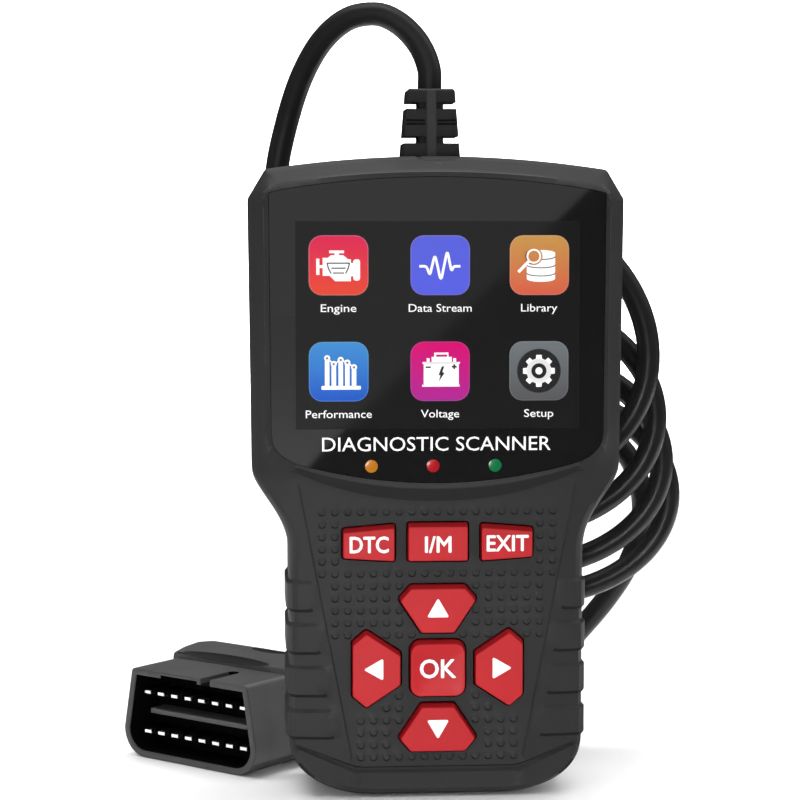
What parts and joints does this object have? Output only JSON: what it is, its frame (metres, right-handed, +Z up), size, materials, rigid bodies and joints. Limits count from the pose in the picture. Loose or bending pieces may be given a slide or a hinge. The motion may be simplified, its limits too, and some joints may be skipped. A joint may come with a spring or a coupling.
{
  "type": "automotive diagnostic code reader",
  "caption": "Handheld vehicle diagnostic scanner with a wide colour display head, ribbed grip, red keypad, top strain relief and a coiled lead ending in a trapezoid pin plug.",
  "frame": {"origin": "centre of the reader's own bottom end, on the surface it stands on, midway through its width and depth", "axes": "+Z up along the reader's length, from its foot to the strain relief; +Y from the screen to the back; +X to the right when the screen is faced"},
  "size_m": [0.1271, 0.0838, 0.1636],
  "materials": {
    "shell_plastic": "fine-textured moulded charcoal plastic",
    "lens_gloss": "polished near-black acrylic window",
    "adhesive": "black foam tape",
    "panel_glass": "smooth black display face",
    "backlight_tray": "satin pressed tray",
    "ribbon": "flexible amber film",
    "circuit_board": "green solder mask",
    "mat_rubber": "dull moulded silicone",
    "key_red": "semi-gloss red moulding",
    "lamp_amber": "clear tinted plastic",
    "lamp_red": "clear tinted plastic",
    "lamp_green": "clear tinted plastic",
    "chip_black": "moulded black package",
    "header_white": "off-white connector housing",
    "lead_rubber": "satin black jacket",
    "screw_steel": "plain steel",
    "plug_plastic": "dark grey moulded plastic",
    "plug_grip": "dark grey overmould",
    "pin_metal": "bright nickel plate"
  },
  "bodies": {
    "reader": {"back_shell": "shell_plastic", "board_screw_1": "screw_steel", "board_screw_2": "screw_steel", "buzzer": "chip_black", "cable_arch": "lead_rubber", "cable_coil": "lead_rubber", "cable_header": "header_white", "cable_tail": "lead_rubber", "can_transceiver": "chip_black", "display_lens": "lens_gloss", "flash_memory": "chip_black", "front_shell": "shell_plastic", "housing_screw_1": "screw_steel", "housing_screw_2": "screw_steel", "housing_screw_3": "screw_steel", "housing_screw_4": "screw_steel", "inner_lead": "lead_rubber", "keypad_membrane": "mat_rubber", "lcd_backlight": "backlight_tray", "lcd_panel": "panel_glass", "lcd_ribbon": "ribbon", "led_amber": "lamp_amber", "led_green": "lamp_green", "led_red": "lamp_red", "lens_adhesive": "adhesive", "light_pipe_amber": "lamp_amber", "light_pipe_green": "lamp_green", "light_pipe_red": "lamp_red", "main_board": "circuit_board", "microcontroller": "chip_black", "plug_overmold": "plug_grip", "plug_pin_01": "pin_metal", "plug_pin_02": "pin_metal", "plug_pin_03": "pin_metal", "plug_pin_04": "pin_metal", "plug_pin_05": "pin_metal", "plug_pin_06": "pin_metal", "plug_pin_07": "pin_metal", "plug_pin_08": "pin_metal", "plug_pin_09": "pin_metal", "plug_pin_10": "pin_metal", "plug_pin_11": "pin_metal", "plug_pin_12": "pin_metal", "plug_pin_13": "pin_metal", "plug_pin_14": "pin_metal", "plug_pin_15": "pin_metal", "plug_pin_16": "pin_metal", "plug_pin_block": "plug_plastic", "plug_relief": "plug_grip", "plug_shroud": "plug_plastic", "strain_relief": "lead_rubber"},
    "key_codes": {"key_codes": "key_red"},
    "key_test": {"key_test": "key_red"},
    "key_exit": {"key_exit": "key_red"},
    "key_up": {"key_up": "key_red"},
    "key_left": {"key_left": "key_red"},
    "key_down": {"key_down": "key_red"},
    "key_right": {"key_right": "key_red"},
    "key_ok": {"key_ok": "key_red"}
  },
  "joints": [
    {"name": "key_codes_press", "type": "slide", "parent": "reader", "child": "key_codes", "axis": [0, 1, 0], "range_m": [0, 0.0008], "stiffness_N_per_m": 300, "springref_m": -0.0005},
    {"name": "key_test_press", "type": "slide", "parent": "reader", "child": "key_test", "axis": [0, 1, 0], "range_m": [0, 0.0008], "stiffness_N_per_m": 300, "springref_m": -0.0005},
    {"name": "key_exit_press", "type": "slide", "parent": "reader", "child": "key_exit", "axis": [0, 1, 0], "range_m": [0, 0.0008], "stiffness_N_per_m": 300, "springref_m": -0.0005},
    {"name": "key_up_press", "type": "slide", "parent": "reader", "child": "key_up", "axis": [0, 1, 0], "range_m": [0, 0.0008], "stiffness_N_per_m": 300, "springref_m": -0.0005},
    {"name": "key_left_press", "type": "slide", "parent": "reader", "child": "key_left", "axis": [0, 1, 0], "range_m": [0, 0.0008], "stiffness_N_per_m": 300, "springref_m": -0.0005},
    {"name": "key_down_press", "type": "slide", "parent": "reader", "child": "key_down", "axis": [0, 1, 0], "range_m": [0, 0.0008], "stiffness_N_per_m": 300, "springref_m": -0.0005},
    {"name": "key_right_press", "type": "slide", "parent": "reader", "child": "key_right", "axis": [0, 1, 0], "range_m": [0, 0.0008], "stiffness_N_per_m": 300, "springref_m": -0.0005},
    {"name": "key_ok_press", "type": "slide", "parent": "reader", "child": "key_ok", "axis": [0, 1, 0], "range_m": [0, 0.0008], "stiffness_N_per_m": 300, "springref_m": -0.0005}
  ]
}
